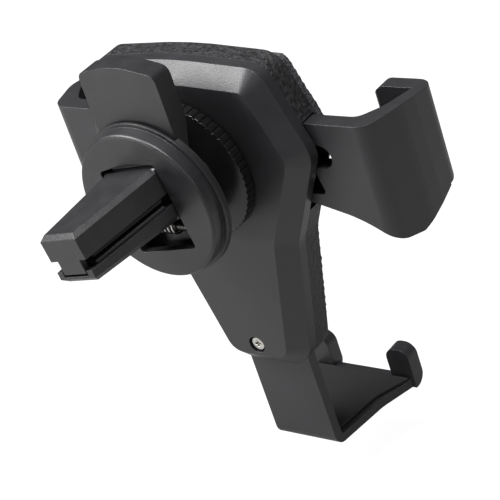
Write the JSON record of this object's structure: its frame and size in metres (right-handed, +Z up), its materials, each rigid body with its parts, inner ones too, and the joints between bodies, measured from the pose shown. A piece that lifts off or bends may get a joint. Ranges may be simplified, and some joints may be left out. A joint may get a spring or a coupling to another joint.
{
  "type": "air vent phone holder",
  "caption": "Gravity phone cradle with two side arms, a sliding foot and a ball-jointed clip for a car air vent.",
  "frame": {"origin": "middle of the front pad's face, level with the middle of the phone that the cradle holds", "axes": "+X to the right seen from the front, +Y from the phone towards the vent, +Z up along the cradle"},
  "size_m": [0.0858, 0.0685, 0.1018],
  "materials": {
    "black_plastic": "fine satin moulded grain",
    "black_rubber": "matt",
    "black_foam": "open-cell foam",
    "bright_steel": "bright zinc-plated"
  },
  "bodies": {
    "vent_clip": {"clip_base": "black_plastic", "clip_cover": "black_plastic", "lower_jaw": "black_plastic", "lower_jaw_pad": "black_rubber", "lever_pin": "bright_steel", "lever_spring": "bright_steel", "cover_screws": "bright_steel", "flange_screws": "bright_steel"},
    "lever": {"release_lever": "black_plastic", "upper_jaw_pad": "black_rubber"},
    "ball": {"swivel_ball": "black_plastic"},
    "cup": {"friction_cup": "black_plastic"},
    "cradle": {"rear_shell": "black_plastic", "front_shell": "black_plastic", "front_pad": "black_foam", "tail_screw": "bright_steel", "upper_screws": "bright_steel", "return_spring": "bright_steel"},
    "clamp_ring": {"lock_ring": "black_plastic"},
    "foot_slider": {"foot": "black_plastic", "foot_pad": "black_rubber"},
    "left_side": {"left_arm": "black_plastic", "left_arm_pad": "black_rubber", "left_cam_pin": "bright_steel"},
    "right_side": {"right_arm": "black_plastic", "right_arm_pad": "black_rubber", "right_cam_pin": "bright_steel"}
  },
  "joints": [
    {"name": "lever_press", "type": "hinge", "parent": "vent_clip", "child": "lever", "pos_m": [0, 0.0263, -0.011], "axis": [1, 0, 0], "range_deg": [0, 6], "stiffness_Nm_per_rad": 0.5, "springref_deg": -14.32},
    {"name": "clip_turn", "type": "hinge", "parent": "vent_clip", "child": "ball", "pos_m": [0, 0.0232, -0.0048], "axis": [0, 1, 0], "continuous": true},
    {"name": "ball_tilt", "type": "hinge", "parent": "ball", "child": "cup", "pos_m": [0, 0.0179, -0.0048], "axis": [1, 0, 0], "range_deg": [-5, 5]},
    {"name": "cradle_turn", "type": "hinge", "parent": "cup", "child": "cradle", "pos_m": [0, 0.0179, -0.0048], "axis": [0, 1, 0], "continuous": true},
    {"name": "ring_turn", "type": "hinge", "parent": "cradle", "child": "clamp_ring", "pos_m": [0, 0.0179, -0.0048], "axis": [0, 1, 0], "range_deg": [0, 90]},
    {"name": "foot_slide", "type": "slide", "parent": "cradle", "child": "foot_slider", "axis": [0, 0, 1], "range_m": [-0.006, 0.004], "stiffness_N_per_m": 150, "springref_m": 0.0004, "deforming": ["return_spring"]},
    {"name": "left_arm_slide", "type": "slide", "parent": "cradle", "child": "left_side", "axis": [-1, 0, 0], "range_m": [-0.0081, 0.0054]},
    {"name": "right_arm_slide", "type": "slide", "parent": "cradle", "child": "right_side", "axis": [1, 0, 0], "range_m": [-0.0081, 0.0054]}
  ],
  "couplings": [
    {"joint": "left_arm_slide", "follows": "foot_slide", "ratio": 1.35},
    {"joint": "right_arm_slide", "follows": "foot_slide", "ratio": 1.35}
  ]
}
